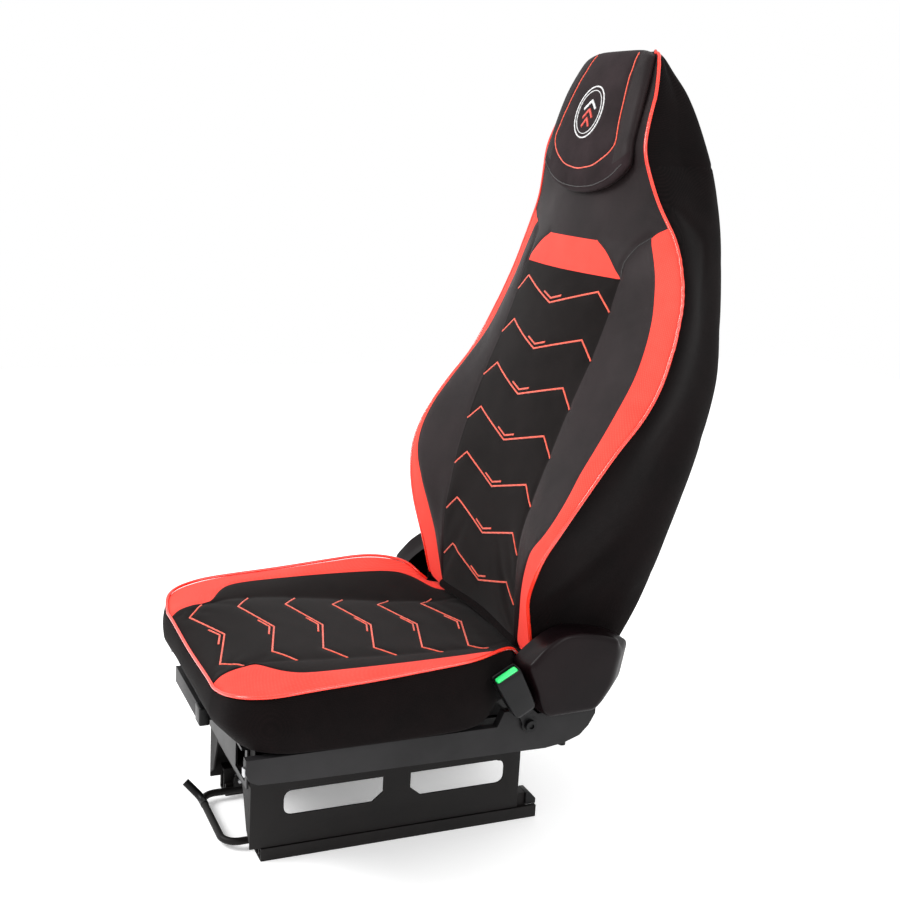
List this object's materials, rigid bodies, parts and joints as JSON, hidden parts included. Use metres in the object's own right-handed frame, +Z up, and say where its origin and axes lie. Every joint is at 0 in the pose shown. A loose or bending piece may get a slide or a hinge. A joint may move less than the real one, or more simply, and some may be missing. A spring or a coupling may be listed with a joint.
{
  "type": "vehicle bucket seat",
  "caption": "High-back bucket seat with side bolsters and built-in head rest, on slide rails with windowed risers, recliner covers, towel-bar lever and belt buckle.",
  "frame": {"origin": "centre of the four floor bolts, in the plane of the floor", "axes": "+Z up, -Y the way the occupant faces, +X to the occupant's left, the side with the buckle"},
  "size_m": [0.5802, 0.7522, 1.176],
  "materials": {
    "steel": "satin black powder coat",
    "bright_steel": "zinc plated",
    "trim": "grained dark grey",
    "cover_trim": "satin brown-grey",
    "black_plastic": "fine grain",
    "upholstery": "knitted cover over foam",
    "green": "gloss"
  },
  "bodies": {
    "floor_rails": {"floor_rail_left": "steel", "floor_rail_right": "steel"},
    "seat_base": {"slide_rail_left": "steel", "slide_rail_right": "steel", "rail_cap_left": "black_plastic", "rail_cap_right": "black_plastic", "riser_left": "steel", "riser_right": "steel", "front_apron": "trim", "rear_crossmember": "steel", "seat_pan": "steel", "skirt_left": "trim", "skirt_right": "trim", "skirt_clips": "bright_steel", "skirt_bolts": "steel", "rear_buffers": "black_plastic", "hinge_plate_left": "steel", "hinge_plate_right": "steel", "recliner_cover_left": "cover_trim", "recliner_cover_right": "cover_trim", "lever_pins": "bright_steel"},
    "slide_lever": {"towel_bar": "steel", "towel_grip": "black_plastic"},
    "cushion": {"cushion_pan": "black_plastic", "cushion_runners": "steel", "cushion_pad": "upholstery"},
    "cushion_lever": {"front_lever": "trim", "front_lever_cap": "black_plastic"},
    "backrest": {"hinge_arm_left": "steel", "hinge_arm_right": "steel", "recline_shaft": "bright_steel", "back_upright_left": "steel", "back_upright_right": "steel", "back_top_tube": "steel", "lumbar_tube": "steel", "head_post_left": "steel", "head_post_right": "steel", "back_pad": "upholstery", "head_pad": "upholstery"},
    "recline_handle": {"recline_lever": "black_plastic"},
    "buckle": {"buckle_stalk": "black_plastic", "buckle_housing": "black_plastic"},
    "button": {"buckle_button": "green"}
  },
  "joints": [
    {"name": "seat_slide", "type": "slide", "parent": "floor_rails", "child": "seat_base", "axis": [0, -1, 0], "range_m": [-0.1, 0.1]},
    {"name": "slide_release", "type": "hinge", "parent": "seat_base", "child": "slide_lever", "pos_m": [0, -0.204, 0.03], "axis": [-1, 0, 0], "range_deg": [0, 8], "stiffness_Nm_per_rad": 6, "springref_deg": -14.32},
    {"name": "cushion_depth", "type": "slide", "parent": "seat_base", "child": "cushion", "axis": [0, -1, 0], "range_m": [0, 0.05]},
    {"name": "cushion_release", "type": "hinge", "parent": "cushion", "child": "cushion_lever", "pos_m": [0, -0.236, 0.192], "axis": [-1, 0, 0], "range_deg": [0, 8], "stiffness_Nm_per_rad": 6, "springref_deg": -14.32},
    {"name": "recline", "type": "hinge", "parent": "seat_base", "child": "backrest", "pos_m": [0, 0.2, 0.3], "axis": [-1, 0, 0], "range_deg": [-10, 35]},
    {"name": "recline_release", "type": "hinge", "parent": "seat_base", "child": "recline_handle", "pos_m": [-0.27, 0.2, 0.3], "axis": [-1, 0, 0], "range_deg": [0, 25], "stiffness_Nm_per_rad": 1.5, "springref_deg": -17.19},
    {"name": "buckle_swivel", "type": "hinge", "parent": "seat_base", "child": "buckle", "pos_m": [0.24, 0.137, 0.22], "axis": [1, 0, 0], "range_deg": [0, 35]},
    {"name": "button_press", "type": "slide", "parent": "buckle", "child": "button", "axis": [0, 0.454, -0.891], "range_m": [0, 0.004], "stiffness_N_per_m": 800, "springref_m": -0.003}
  ]
}
